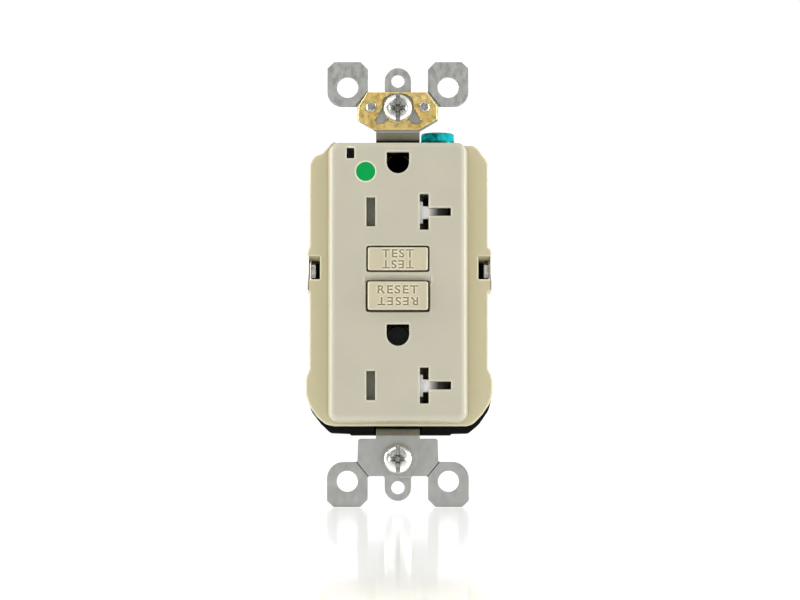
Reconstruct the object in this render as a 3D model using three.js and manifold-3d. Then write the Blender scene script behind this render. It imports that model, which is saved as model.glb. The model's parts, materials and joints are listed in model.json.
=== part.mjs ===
// Ground-fault receptacle, standing upright with the ground holes uppermost.
// Millimetres. X is right, Z is up, the face looks along -Y.
// The origin is on the plane y = 0 where the ears bear on the wall, midway between the ears.
import * as THREE from "three";
import { mergeVertices } from "three/addons/utils/BufferGeometryUtils.js";
import Module from "manifold-3d";

const wasm = await Module();
wasm.setup();

// ---- Driving dimensions ----
const FIT = 0.3;                    // running gap between neighbouring pieces
const FACE_Y = -8.3;                // front of the cover's raised face
const FLANGE_Y = -2.1;              // front of the cover's flange
const FLANGE_BACK_Y = 0.1;
const FACE_W = 33.3;
const FACE_H = 66.8;
const FACE_R = 2.4;
const FACE_Z = 0.15;                // middle of the face, above the middle of the ears
const FACE_EDGE = { depth: 1.2, width: 1.7 };    // rounding of the face's front edge
const FACE_WALL = 2.4;
const STRAP_T = 1.3;
const NECK_Y = 1.3;                 // front of the strap's middle run, behind the cover
const NECK_HALF = 5.2;
const SCREW_Z = 41.67;              // device screws, from the middle
const EAR_HOLE = { x: 12.0, z: 46.9, r: 2.5 };
const LOBE = { z: 48.4, r: 3.15, hole: 1.55 };
const OUTLETS = [
  { name: "upper", blade: 16.6, ground: 28.4 },
  { name: "lower", blade: -24.4, ground: -12.38 },
];
const HOT_X = -6.4;
const NEUTRAL_X = 6.2;
const SLOT_W = 2.05;
const HOT_SLOT_H = 6.8;
const NEUTRAL_SLOT_H = 8.45;
const T_ARM = { x0: 7.1, x1: 12.5, h: 1.86 };
const GROUND_R = 2.66;
const GROUND_TOP = 2.39;            // flat top of a ground hole above its round centre
const DOT = { x: -7.62, z: 26.13, r: 2.25 };
const LAMP = { x: -11.2, z: 30.52, w: 1.76, h: 2.4 };
const TEST = { x: 0, z: 5.45, openW: 14.8, openH: 6.07, w: 14.15, h: 5.47, front: -8.7 };
const RESET = { x: 0, z: -3.3, openW: 15.0, openH: 7.45, w: 14.2, h: 6.7, front: -9.6 };
const HOUSING_FRONT_Y = 0.4;
const HOUSING_BACK_Y = 28.5;
const HOUSING_HALF = 20.6;
const WALL = 1.7;
const CORNER = { x: 15.6, z: 28.4 };    // assembly screws
const TERMINAL_Z = 15;
const TERMINAL_Y = 10;
const BOARD_Y = 13;
const SOLENOID_Y = 19.6;
const GROUND = { x: 9.5, y: 5.6, z: 34.0 };    // ground screw, under its head
const SIDES = [                     // the latches; the cover reaches further out on the right
  { name: "left", sign: -1, skirt: 21.6, window: [18.5, 21.15], tab: [19.5, 20.7] },
  { name: "right", sign: 1, skirt: 22.4, window: [19.1, 22.0], tab: [20.45, 21.7] },
];

// ---- Shape helpers ----
const solid = (geometry) => {
  const clean = geometry.clone();
  clean.deleteAttribute("normal");
  clean.deleteAttribute("uv");
  const merged = mergeVertices(clean, 1e-4);
  return new wasm.Manifold(new wasm.Mesh({
    numProp: 3,
    vertProperties: new Float32Array(merged.attributes.position.array),
    triVerts: new Uint32Array(merged.index.array),
  }));
};

const join = (...shapes) => shapes.reduce((all, shape) => all.add(shape));
const cut = (shape, ...tools) => tools.reduce((rest, tool) => rest.subtract(tool), shape);

const outline = (points) => new THREE.Shape(points.map(([a, b]) => new THREE.Vector2(a, b)));

const roundRect = (x0, x1, z0, z1, r) => {
  const s = new THREE.Shape();
  s.moveTo(x0 + r, z0);
  s.lineTo(x1 - r, z0);
  s.absarc(x1 - r, z0 + r, r, -Math.PI / 2, 0, false);
  s.lineTo(x1, z1 - r);
  s.absarc(x1 - r, z1 - r, r, 0, Math.PI / 2, false);
  s.lineTo(x0 + r, z1);
  s.absarc(x0 + r, z1 - r, r, Math.PI / 2, Math.PI, false);
  s.lineTo(x0, z0 + r);
  s.absarc(x0 + r, z0 + r, r, Math.PI, Math.PI * 1.5, false);
  return s;
};

// A shape drawn in X and Z, run from y0 to y1.
const alongY = (shape, y0, y1, options = {}) => {
  const settings = { depth: y1 - y0, bevelEnabled: false, curveSegments: 5, ...options };
  const g = new THREE.ExtrudeGeometry(shape, settings);
  g.rotateX(Math.PI / 2);
  g.translate(0, y1, 0);
  return solid(g);
};

// A shape drawn in Y and Z, run from x0 to x1.
const alongX = (shape, x0, x1) => {
  const g = new THREE.ExtrudeGeometry(shape, { depth: x1 - x0, bevelEnabled: false, curveSegments: 5 });
  g.rotateX(Math.PI / 2);
  g.rotateZ(Math.PI / 2);
  g.translate(x0, 0, 0);
  return solid(g);
};

const box = (x0, x1, y0, y1, z0, z1) => {
  const g = new THREE.BoxGeometry(x1 - x0, y1 - y0, z1 - z0);
  g.translate((x0 + x1) / 2, (y0 + y1) / 2, (z0 + z1) / 2);
  return solid(g);
};

const rodY = (x, z, r, y0, y1, sides = 20) => {
  const g = new THREE.CylinderGeometry(r, r, y1 - y0, sides);
  g.translate(x, (y0 + y1) / 2, z);
  return solid(g);
};

const rodX = (y, z, r, x0, x1, sides = 20) => {
  const g = new THREE.CylinderGeometry(r, r, x1 - x0, sides);
  g.rotateZ(Math.PI / 2);
  g.translate((x0 + x1) / 2, y, z);
  return solid(g);
};

const rodZ = (x, y, r, z0, z1, sides = 20, top = r) => {
  const g = new THREE.CylinderGeometry(top, r, z1 - z0, sides);
  g.rotateX(Math.PI / 2);
  g.translate(x, y, (z0 + z1) / 2);
  return solid(g);
};

// A coil spring about the Z axis from z = 0 to z = length, wound with square wire.
const coil = (radius, wire, length, turns, steps = 9) => {
  const count = turns * steps;
  const rings = [];
  for (let i = 0; i <= count; i += 1) {
    const a = (2 * Math.PI * i) / steps;
    const z = wire + ((length - 2 * wire) * i) / count;
    const corner = (dr, dz) => [(radius + dr) * Math.cos(a), (radius + dr) * Math.sin(a), z + dz];
    rings.push([corner(-wire, -wire), corner(wire, -wire), corner(wire, wire), corner(-wire, wire)]);
  }
  const index = [];
  const quad = (a, b, c, d) => index.push(a, b, c, a, c, d);
  quad(0, 1, 2, 3);
  for (let i = 0; i < count; i += 1) {
    for (let k = 0; k < 4; k += 1) {
      const next = (k + 1) % 4;
      quad(4 * i + next, 4 * i + k, 4 * i + 4 + k, 4 * i + 4 + next);
    }
  }
  quad(4 * count + 3, 4 * count + 2, 4 * count + 1, 4 * count);
  const g = new THREE.BufferGeometry();
  g.setAttribute("position", new THREE.Float32BufferAttribute(rings.flat(2), 3));
  g.setIndex(index);
  return g;
};

const placed = (geometry, axis, x, y, z) => {
  const g = geometry.clone();
  if (axis === "x") g.rotateY(Math.PI / 2);
  if (axis === "y") g.rotateX(-Math.PI / 2);
  g.translate(x, y, z);
  return solid(g);
};

// ---- Materials ----
const FINISH = {
  cover: { color: 0xc9c5a9, roughness: 0.45, metalness: 0 },
  button: { color: 0xc8c1ac, roughness: 0.45, metalness: 0 },
  black: { color: 0x0d0e0c, roughness: 0.5, metalness: 0 },
  green: { color: 0x06a450, roughness: 0.5, metalness: 0 },
  lens: { color: 0x14140f, roughness: 0.2, metalness: 0 },
  shutter: { color: 0xdededb, roughness: 0.5, metalness: 0 },
  zinc: { color: 0xaeafaa, roughness: 0.4, metalness: 1 },
  bright: { color: 0xd8d8cf, roughness: 0.25, metalness: 1 },
  brass: { color: 0xc8a961, roughness: 0.35, metalness: 1 },
  teal: { color: 0x10918b, roughness: 0.3, metalness: 1 },
  copper: { color: 0xb0643a, roughness: 0.35, metalness: 1 },
  board: { color: 0x2f5a2c, roughness: 0.5, metalness: 0 },
  grey: { color: 0x5b5e60, roughness: 0.6, metalness: 0 },
  blue: { color: 0x2c4f9e, roughness: 0.4, metalness: 0 },
  ferrite: { color: 0x2a2a2c, roughness: 0.6, metalness: 0 },
  nylon: { color: 0xd9d6c8, roughness: 0.5, metalness: 0 },
};

const group = new THREE.Group();
group.name = "gfci_outlet";

const add = (name, shape, finish) => {
  const { vertProperties, triVerts } = shape.getMesh();
  const g = new THREE.BufferGeometry();
  g.setAttribute("position", new THREE.BufferAttribute(new Float32Array(vertProperties), 3));
  g.setIndex(new THREE.BufferAttribute(new Uint32Array(triVerts), 1));
  g.computeVertexNormals();
  const mesh = new THREE.Mesh(g, new THREE.MeshStandardMaterial(FINISH[finish]));
  mesh.name = name;
  group.add(mesh);
};

// ---- Front cover ----
const FLANGE = [
  [-14.5, 33.5], [-15.5, 33.9], [-18.1, 31], [-19.8, 30.4], [-20.6, 29.4], [-21.05, 28.3],
  [-21.05, -20.4], [-21.6, -21.6], [-21.9, -23], [-21.9, -26.2], [-21.3, -28.2], [-20.2, -30.1],
  [-18.7, -31.9], [-17.1, -33.2], [-15.4, -33.85], [16.4, -33.85], [17.4, -33.5], [19.2, -31.9],
  [20.7, -30.1], [21.8, -28.2], [22.4, -26.2], [22.5, -23], [22.1, -21.6], [21.45, -20.4],
  [21.5, 28.3], [20.9, 29.7], [18.9, 32.3], [17.9, 32.9], [15, 32.9], [14.5, 33.5],
];
const skirt = (x) => [[18.1, -1.95], [x, -1.95], [x, 7.2], [x - 0.3, 8.2], [20.9, 9.1], [18.1, 9.1]];

const groundOpening = (z) => {
  const s = new THREE.Shape();
  s.moveTo(GROUND_R, z + GROUND_TOP);
  s.lineTo(-GROUND_R, z + GROUND_TOP);
  s.absarc(0, z, GROUND_R, Math.PI, 2 * Math.PI, false);
  return s;
};

const slotRect = (x, z, w, h) => roundRect(x - w / 2, x + w / 2, z - h / 2, z + h / 2, 0.15);

const makeCover = () => {
  const edge = {
    bevelEnabled: true, bevelThickness: FACE_EDGE.depth, bevelSize: FACE_EDGE.width, bevelSegments: 4,
    bevelOffset: -FACE_EDGE.width,
  };
  const w = FACE_W / 2;
  const h = FACE_H / 2;
  let cover = join(
    alongY(roundRect(-w, w, FACE_Z - h, FACE_Z + h, FACE_R), FACE_Y + FACE_EDGE.depth, -1.3, edge),
    alongY(outline(FLANGE), FLANGE_Y, FLANGE_BACK_Y),
  );
  for (const side of SIDES) {
    const wing = alongY(outline(skirt(side.skirt)), FLANGE_Y, 7.4);
    cover = cover.add(side.sign < 0 ? wing.mirror([1, 0, 0]) : wing);
  }
  cover = cut(cover, alongY(roundRect(-14.4, 14.4, -31.2, 31.2, 1.5), FACE_Y + FACE_WALL, 1));
  for (const side of SIDES) {
    for (const sz of [-1, 1]) {
      const x = side.sign * CORNER.x;
      const z = sz * CORNER.z;
      cover = cut(cover.add(rodY(x, z, 2.4, -1.5, 12, 16)), rodY(x, z, 1.75, 1.5, 13, 12));
    }
    const [x0, x1] = side.window;
    const window = box(x0, x1, -3, 8, 1.0, 5.5);
    const ramp = alongX(outline([[-3, 5], [-3, 6.9], [0, 5.4], [0, 5]]), x0, x1);
    const both = window.add(ramp);
    cover = cut(cover, side.sign < 0 ? both.mirror([1, 0, 0]) : both);
  }
  for (const o of OUTLETS) {
    cover = cut(
      cover,
      alongY(slotRect(HOT_X, o.blade, SLOT_W, HOT_SLOT_H), FACE_Y - 1, 0),
      alongY(slotRect(NEUTRAL_X, o.blade, SLOT_W, NEUTRAL_SLOT_H), FACE_Y - 1, 0),
      box(T_ARM.x0, T_ARM.x1, FACE_Y - 1, 0, o.blade - T_ARM.h / 2, o.blade + T_ARM.h / 2),
      alongY(groundOpening(o.ground), FACE_Y - 1, 0, { curveSegments: 10 }),
    );
  }
  for (const b of [TEST, RESET]) {
    const hw = b.openW / 2;
    const hh = b.openH / 2;
    cover = cut(cover, alongY(roundRect(b.x - hw, b.x + hw, b.z - hh, b.z + hh, 0.5), FACE_Y - 1, 0));
  }
  return cut(
    cover,
    alongY(slotRect(LAMP.x, LAMP.z, LAMP.w, LAMP.h), FACE_Y - 1, 0),
    rodY(DOT.x, DOT.z, DOT.r + 0.04, FACE_Y - 1, FACE_Y + 0.8, 24),
  );
};
add("front_cover", makeCover(), "cover");
add(
  "status_lens",
  box(LAMP.x - 0.68, LAMP.x + 0.68, FACE_Y + 0.35, FACE_Y + 3.4, LAMP.z - 1, LAMP.z + 0.6),
  "lens",
);
add("hospital_dot", rodY(DOT.x, DOT.z, DOT.r, FACE_Y - 0.02, FACE_Y + 0.7, 24), "green");

// ---- Mounting strap ----
const EAR = [
  [-15.2, 53], [-8.9, 53], [-7.15, 51.2], [-7.15, 46], [-6.4, 45], [-9, 42.35], [-13.4, 42.35],
  [-14.9, 42.8], [-16, 43.75], [-16.6, 45], [-16.8, 46.3], [-16.8, 51.5],
];
const JOGGLE = [
  [-STRAP_T, 37.4], [0, 37.4], [NECK_Y + STRAP_T, 34.9], [NECK_Y + STRAP_T, 33], [NECK_Y, 33], [NECK_Y, 34.6],
];

const makeStrapEnd = (plate, plateTop) => {
  const s = new THREE.Shape();
  s.moveTo(-LOBE.r, plateTop);
  s.lineTo(-LOBE.r, LOBE.z);
  s.absarc(0, LOBE.z, LOBE.r, Math.PI, 0, true);
  s.lineTo(LOBE.r, plateTop);
  const ear = cut(
    alongY(outline(EAR), -STRAP_T, 0),
    rodY(-EAR_HOLE.x, EAR_HOLE.z, EAR_HOLE.r, -2, 1, 24),
  );
  const end = join(
    alongY(outline(plate), -STRAP_T, 0),
    alongY(s, -STRAP_T, 0, { curveSegments: 14 }),
    ear,
    ear.mirror([1, 0, 0]),
    alongX(outline(JOGGLE), -NECK_HALF, NECK_HALF),
  );
  const score = 0.28;
  const groove = alongX(
    outline([[-STRAP_T - 0.1, -score], [-STRAP_T - 0.1, score], [-STRAP_T + 0.35, 0]]), -3.4, 3.4,
  );
  const left = groove.rotate([0, -51, 0]).translate([-8.65, 0, 44]);
  return cut(
    end,
    left,
    left.mirror([1, 0, 0]),
    rodY(0, LOBE.z, LOBE.hole, -2, 1, 20),
    rodY(0, SCREW_Z, 2.2, -2, 1, 16),
  );
};

const makeStrap = () => {
  const top = makeStrapEnd(
    [
      [-7.33, 46], [7.33, 46], [9.7, 43], [9.7, 39.1], [5.2, 36.4], [-5.2, 36.4], [-9.7, 39.1], [-9.7, 43],
    ],
    45.5,
  );
  const bottom = makeStrapEnd(
    [
      [-7.33, 45.7], [7.33, 45.7], [9.6, 42.6], [9.45, 37.4], [8.9, 36.8],
      [-8.9, 36.8], [-9.45, 37.4], [-9.6, 42.6],
    ],
    45.2,
  ).rotate([0, 180, 0]);
  let strap = join(
    top,
    bottom,
    box(-4.9, 4.9, NECK_Y, NECK_Y + STRAP_T, -33.5, 33.5),
    box(4.5, 12.8, NECK_Y, NECK_Y + STRAP_T, 24.5, 33.2),
    box(5.8, 12.8, NECK_Y, 9.6, 31.9, 33.2),
  );
  for (const o of OUTLETS) strap = cut(strap, rodY(0, o.ground, 2.75, 0, 4, 20));
  return cut(
    strap,
    rodY(0, RESET.z, 1.6, 0, 4, 16),
    rodY(0, TEST.z, 1.6, 0, 4, 16),
    rodZ(GROUND.x, GROUND.y, 2.1, 30, 34, 16),
  );
};
add("mounting_strap", makeStrap(), "zinc");

// ---- Brass ground clip riveted to the strap's upper end ----
const CLIP = [
  [-7.3, 45.7], [6.9, 45.7], [9.35, 42.3], [9.35, 39.3],
  [4.9, 36.7], [-5.6, 36.7], [-9.35, 39.1], [-9.35, 42.3],
];
const clipCut = () => {
  const s = new THREE.Shape();
  s.moveTo(-3.7, 43.4);
  s.quadraticCurveTo(-3.2, 45.3, 0, 45.3);
  s.quadraticCurveTo(3.2, 45.3, 3.7, 43.4);
  s.bezierCurveTo(3.8, 41.2, 5.6, 40, 5.5, 38.9);
  s.quadraticCurveTo(5.2, 38.2, 4.3, 38.2);
  s.lineTo(-4.3, 38.2);
  s.quadraticCurveTo(-5.2, 38.2, -5.5, 38.9);
  s.bezierCurveTo(-5.6, 40, -3.8, 41.2, -3.7, 43.4);
  return s;
};
add(
  "ground_clip",
  cut(
    alongY(outline(CLIP), -2, -STRAP_T - 0.05),
    alongY(clipCut(), -3, 0),
    rodY(-6.3, 42.1, 1.0, -3, 0, 12),
    rodY(6.3, 42.1, 1.0, -3, 0, 12),
  ),
  "brass",
);
for (const [name, x] of [["left", -6.3], ["right", 6.3]]) {
  const rivet = rodY(x, 42.1, 1.22, -2.6, -2.05, 16).add(rodY(x, 42.1, 0.9, -2.2, -1.35, 12));
  add(`clip_rivet_${name}`, rivet, "bright");
}

// ---- Device screws and their retainers ----
const driveCut = (x, z, y) => join(
  box(x - 0.45, x + 0.45, y - 1, y + 1.0, z - 3.6, z + 3.6),
  box(x - 1.9, x + 1.9, y - 1, y + 1.2, z - 0.6, z + 0.6),
  rodY(x, z, 1.05, y - 1, y + 1.6, 8),
);
for (const [name, z] of [["top", SCREW_Z], ["bottom", -SCREW_Z]]) {
  const profile = [[0, 0], [2.5, 0.05], [3.1, 0.5], [3.4, 1.3], [3.4, 2.3], [0, 2.3]];
  const head = new THREE.LatheGeometry(profile.map(([r, y]) => new THREE.Vector2(r, y)), 24);
  head.translate(0, -4.6, z);
  add(`${name}_screw`, cut(solid(head).add(rodY(0, z, 1.72, -2.4, 22, 16)), driveCut(0, z, -4.6)), "bright");
  add(`${name}_screw_washer`, cut(rodY(0, z, 3.3, -2.2, -1.4, 24), rodY(0, z, 2.05, -3, 0, 16)), "bright");
}

// ---- Back housing ----
const HOUSING = [
  [-14.6, 33], [-15.4, 32.8], [-18.2, 30.4], [-19.5, 29.9], [-20.3, 29], [-HOUSING_HALF, 28],
  [-HOUSING_HALF, -20.6], [-21.5, -22.4], [-21.5, -27.6], [-21, -29.4], [-20.1, -31], [-18.8, -32.6],
  [-17.4, -34.1], [-16.3, -35.1], [-15.2, -35.5], [-11.5, -35.6], [-11.2, -35.95], [12.5, -35.95],
  [12.8, -35.6], [16.4, -35.5], [17.6, -35], [19, -33.7], [20.3, -32], [21.3, -30.5], [22, -28.9],
  [22.3, -27.4], [22.3, -22.4], [HOUSING_HALF, -20.6],
  [HOUSING_HALF, 28], [20.3, 29], [18.5, 31.6], [17.4, 32.2], [15.2, 32.2], [14.6, 33],
];
const inner = HOUSING_HALF - WALL;

const makeHousing = () => {
  let body = alongY(outline(HOUSING), HOUSING_FRONT_Y, HOUSING_BACK_Y);
  const ledge = outline([[-30, -40], [30, -40], [30, -33], [17, -33], [-17, -33], [-30, -33]]);
  const shoulders = join(
    box(HOUSING_HALF, 24, 9, 30, -40, 40),
    box(HOUSING_HALF, 24, 9, 30, -40, 40).mirror([1, 0, 0]),
    alongY(ledge, 9, 30),
  );
  const hollow = alongY(roundRect(-inner, inner, -31.2, 31.9, 4), 0, HOUSING_BACK_Y - WALL - 0.3);
  body = cut(body, shoulders, hollow);
  for (const sx of [-1, 1]) {
    const flip = (shape) => (sx < 0 ? shape.mirror([1, 0, 0]) : shape);
    body = body.add(flip(box(16.7, inner + 0.5, HOUSING_FRONT_Y, 10, -3.6, 10.4)));
    body = cut(body, flip(box(17.8, 24, 0, 7.7, -2.3, 9.4)));
    for (const sz of [-1, 1]) {
      const zc = sz * TERMINAL_Z;
      body = cut(body, flip(box(17.5, 24, 5, 15, zc - 4.6, zc + 4.6)));
      const x = sx * CORNER.x;
      const z = sz * CORNER.z;
      body = body.add(rodY(x, z, 2.9, 12.3, HOUSING_BACK_Y - 0.5, 16));
      body = cut(body, rodY(x, z, 1.75, 10, 30, 12), rodY(x, z, 2.9, 26.8, 30, 16));
    }
  }
  return cut(
    body,
    box(-5.7, 5.7, -2, 3.0, -40, -30),
    box(-5.7, 5.7, -2, 3.0, 30, 40),
    box(5, 14.4, 0, 10.2, 30.9, 40),
  );
};
add("back_housing", makeHousing(), "black");

for (const side of SIDES) {
  for (const [sz, level] of [[1, "upper"], [-1, "lower"]]) {
    const x = side.sign * CORNER.x;
    const z = sz * CORNER.z;
    add(
      `housing_screw_${level}_${side.name}`,
      cut(
        join(rodY(x, z, 1.4, 3, 27.5, 12), rodY(x, z, 2.6, 27, 28.2, 16)),
        box(x - 0.4, x + 0.4, 27.6, 29, z - 1.8, z + 1.8),
        box(x - 1.8, x + 1.8, 27.6, 29, z - 0.4, z + 0.4),
      ),
      "bright",
    );
  }
  const tab = alongX(outline([[-1.1, 1.3], [7, 1.3], [7, 5.2], [0.4, 5.2], [-1.1, 4.5]]), ...side.tab);
  add(`side_tab_${side.name}`, side.sign < 0 ? tab.mirror([1, 0, 0]) : tab, "bright");
}

// ---- Middle insulator: a tray that carries the contact strips ----
const makeInsulator = () => {
  let tray = box(-13, 13, 3.1, 11.4, -30.4, 24);
  tray = cut(
    tray,
    box(-12.2, -4.3, 0, 10.2, -29.4, 23),
    box(4.3, 12.4, 0, 10.2, -29.4, 23),
    box(-3.3, 3.3, 0, 10.2, -8, 14),
    rodY(0, RESET.z, 1.7, 0, 12, 16),
  );
  for (const o of OUTLETS) tray = cut(tray, rodY(0, o.ground, 3.75, 0, 13, 20));
  return tray;
};
add("mid_insulator", makeInsulator(), "nylon");

// ---- Contacts ----
const leafPair = (x, z, half) => join(
  box(x - 1.45, x - 0.95, 3.4, 9.2, z - half, z + half),
  box(x + 0.95, x + 1.45, 3.4, 9.2, z - half, z + half),
  box(x - 1.45, x + 1.45, 8.7, 9.6, z - half, z + half),
);
const strip = (x, width, zEnds) => {
  let metal = box(x - width / 2, x + width / 2, 8.9, 9.6, zEnds[0], zEnds[1]);
  for (const o of OUTLETS) metal = metal.add(leafPair(x, o.blade, 3.2));
  return metal;
};
add("hot_contact_strip", strip(HOT_X, 3.4, [-28.4, 20.6]), "brass");
const crossLeaves = OUTLETS.flatMap((o) => [
  box(8.3, 12.1, 3.4, 9.6, o.blade + 0.95, o.blade + 1.4),
  box(8.3, 12.1, 3.4, 9.6, o.blade - 1.4, o.blade - 0.95),
  box(7, 12.1, 8.9, 9.6, o.blade - 1.4, o.blade + 1.4),
]);
add("neutral_contact_strip", join(strip(NEUTRAL_X, 3, [-28.4, 20.6]), ...crossLeaves), "brass");
for (const o of OUTLETS) {
  const sleeve = cut(
    rodY(0, o.ground, 3.2, NECK_Y + STRAP_T + FIT, 10.5, 20),
    rodY(0, o.ground, 2.7, 0, 12, 20),
    box(-0.5, 0.5, 4.4, 12, o.ground, o.ground + 5),
    box(-0.5, 0.5, 4.4, 12, o.ground - 5, o.ground),
  );
  add(`${o.name}_ground_contact`, sleeve, "brass");
}

// ---- Terminals: bracket, clamp and screw on each side, at two heights ----
const TERMINALS = [
  { name: "hot", side: -1, finish: "brass" },
  { name: "neutral", side: 1, finish: "bright" },
];
for (const t of TERMINALS) {
  for (const [sz, level] of [[1, "upper"], [-1, "lower"]]) {
    const z = sz * TERMINAL_Z;
    const flip = (shape) => (t.side < 0 ? shape.mirror([1, 0, 0]) : shape);
    const bracket = cut(
      join(
        box(14.3, 15.4, 5, 17.4, z - 4.2, z + 4.2),
        box(11.6, 15.4, 16.6, 17.4, z - 2.2, z + 2.2),
      ),
      rodX(TERMINAL_Y, z, 2.1, 14, 16, 16),
    );
    add(`${level}_${t.name}_bracket`, flip(bracket), "brass");
    const clamp = cut(
      box(15.8, 16.8, 6.2, 13.8, z - 3.8, z + 3.8),
      rodX(TERMINAL_Y, z, 2.3, 15, 18, 16),
      box(15.5, 16.1, 6, 14, z - 1.9, z - 1.5),
      box(15.5, 16.1, 6, 14, z + 1.5, z + 1.9),
    );
    add(`${level}_${t.name}_clamp`, flip(clamp), t.finish);
    const screw = cut(
      join(rodX(TERMINAL_Y, z, 1.75, 13.3, 18, 16), rodX(TERMINAL_Y, z, 3.7, 17.8, 20.3, 20)),
      box(19.3, 21, TERMINAL_Y - 0.45, TERMINAL_Y + 0.45, z - 3.2, z + 3.2),
      box(19.3, 21, TERMINAL_Y - 1.8, TERMINAL_Y + 1.8, z - 0.5, z + 0.5),
    );
    add(`${level}_${t.name}_screw`, flip(screw), t.finish);
  }
}

// ---- Ground terminal above the cover's upper edge ----
add(
  "ground_washer",
  cut(
    box(GROUND.x - 3.9, GROUND.x + 3.9, GROUND.y - 3.8, GROUND.y + 3.8, GROUND.z - 0.65, GROUND.z - 0.15),
    rodZ(GROUND.x, GROUND.y, 2.1, GROUND.z - 2, GROUND.z + 1, 16),
  ),
  "teal",
);
const hexCorners = join(
  rodZ(GROUND.x, GROUND.y, 4.6, GROUND.z + 0.2, GROUND.z + 1.3, 24),
  rodZ(GROUND.x, GROUND.y, 4.6, GROUND.z + 1.3, GROUND.z + 2.6, 24, 3.2),
);
const hexHead = rodZ(GROUND.x, GROUND.y, 4.55, GROUND.z + 0.3, GROUND.z + 2.6, 6).intersect(hexCorners);
const washerFace = rodZ(GROUND.x, GROUND.y, 3.9, GROUND.z, GROUND.z + 0.4, 24);
add(
  "ground_screw",
  cut(
    join(hexHead, washerFace, rodZ(GROUND.x, GROUND.y, 1.8, 27.8, GROUND.z + 1, 16)),
    box(GROUND.x - 5, GROUND.x + 5, GROUND.y - 0.5, GROUND.y + 0.5, GROUND.z + 1.4, GROUND.z + 3),
  ),
  "teal",
);

// ---- Buttons ----
const button = (b, flangeHalf) => {
  const hw = b.w / 2;
  const hh = b.h / 2;
  const edge = {
    bevelEnabled: true, bevelThickness: 0.4, bevelSize: 0.4, bevelSegments: 2, bevelOffset: -0.4,
  };
  return join(
    alongY(roundRect(b.x - hw, b.x + hw, b.z - hh, b.z + hh, 0.45), b.front + 0.4, -5.2, edge),
    box(b.x - flangeHalf, b.x + flangeHalf, -5.6, -4.7, b.z - hh - 0.25, b.z + hh + 0.25),
  );
};
add("test_button", join(button(TEST, 8), rodY(0, TEST.z, 1.2, -5, 3.4, 16)), "button");
add("reset_button", button(RESET, 8.2), "button");
add(
  "reset_pin",
  join(rodY(0, RESET.z, 1.0, -4.6, 21.8, 16), rodY(0, RESET.z, 1.8, -4.6, -4.2, 16)),
  "bright",
);
add("reset_spring", placed(coil(2.5, 0.25, 5.2, 5), "y", 0, -4.1, RESET.z), "bright");
add(
  "test_blade",
  join(box(-2.6, 2.6, 4.0, 4.4, 4, 11.5), box(-2.6, 2.6, 4.0, 9.9, 11.1, 11.5)),
  "brass",
);

// ---- Shutters behind the blade slots ----
for (const o of OUTLETS) {
  const z = o.blade;
  const slider = join(
    box(-9.9, -4.6, -5.3, -4.1, z - 4.3, z + 4.3),
    box(-5.0, 7.6, -5.5, -4.1, z - 1.5, z + 1.5),
    box(4.5, 5.9, -5.5, -4.1, z - 4.7, z + 4.7),
    box(-0.6, 0.6, -5.5, -4.1, z - 6, z - 1.4),
  );
  add(`${o.name}_shutter`, slider, "shutter");
  const frame = cut(
    join(
      box(-13, 13.6, -3.8, -2.8, z - 6.4, z + 6),
      box(-8.6, -7.9, -5.5, -3, z - 6.4, z - 4.7),
    ),
    box(-8, -4.9, -5, 0, z - 4, z + 4),
    box(4.7, 13, -5, 0, z - 4.6, z + 4.6),
    rodY(0, z, 1.2, -5, 0, 12),
  );
  add(`${o.name}_shutter_frame`, frame, "nylon");
  add(`${o.name}_shutter_spring`, placed(coil(0.6, 0.12, 6.7, 6, 8), "x", -7.6, -4.8, z - 5.35), "bright");
}

// ---- Circuit board and what stands on it ----
add(
  "circuit_board",
  cut(
    box(-13.4, 13.4, BOARD_Y, BOARD_Y + 1.6, -30, 24.5),
    rodY(0, RESET.z, 1.6, 12, 16, 16),
    rodY(0, 17.5, 3.2, 12, 16, 16),
    rodY(-CORNER.x, -CORNER.z, 3.3, 12, 16, 16),
    rodY(CORNER.x, -CORNER.z, 3.3, 12, 16, 16),
  ),
  "board",
);
add(
  "sense_transformers",
  cut(
    join(rodY(0, 17.5, 6.8, 15, 18.8, 24), rodY(0, 17.5, 6.8, 19.2, 23, 24), rodY(0, 17.5, 5.6, 18, 20, 24)),
    rodY(0, 17.5, 3.2, 10, 30, 20),
  ),
  "ferrite",
);
add(
  "solenoid_bobbin",
  cut(
    join(
      rodZ(0, SOLENOID_Y, 2.6, -27, -13, 20),
      rodZ(0, SOLENOID_Y, 4.9, -27, -26, 20),
      rodZ(0, SOLENOID_Y, 4.9, -14, -13, 20),
    ),
    rodZ(0, SOLENOID_Y, 1.9, -30, -10, 16),
  ),
  "nylon",
);
add(
  "solenoid_coil",
  cut(rodZ(0, SOLENOID_Y, 4.5, -25.9, -14.1, 24), rodZ(0, SOLENOID_Y, 2.65, -30, -10, 20)),
  "copper",
);
add(
  "solenoid_frame",
  cut(
    join(
      box(-5.6, 5.6, BOARD_Y + 1.7, 25, -28.4, -27.3),
      box(-5.6, 5.6, 25, 26, -28.4, -11.6),
      box(-5.6, 5.6, BOARD_Y + 1.7, 25.2, -12.7, -11.6),
    ),
    rodZ(0, SOLENOID_Y, 1.9, -14, -10, 16),
  ),
  "zinc",
);
add("solenoid_plunger", join(
  rodZ(0, SOLENOID_Y, 1.5, -24, -9.6, 16),
  rodZ(0, SOLENOID_Y, 2.4, -9.8, -9.2, 16),
), "zinc");
add("plunger_spring", placed(coil(2.2, 0.16, 1.6, 2), "z", 0, SOLENOID_Y, -11.4), "bright");
add(
  "latch_plate",
  cut(
    box(-3.4, 3.4, SOLENOID_Y - 0.4, SOLENOID_Y + 0.4, -9.0, 1.2),
    box(-1.3, 1.3, SOLENOID_Y - 2, SOLENOID_Y + 2, RESET.z - 1.4, RESET.z + 2.8),
  ),
  "bright",
);
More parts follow.
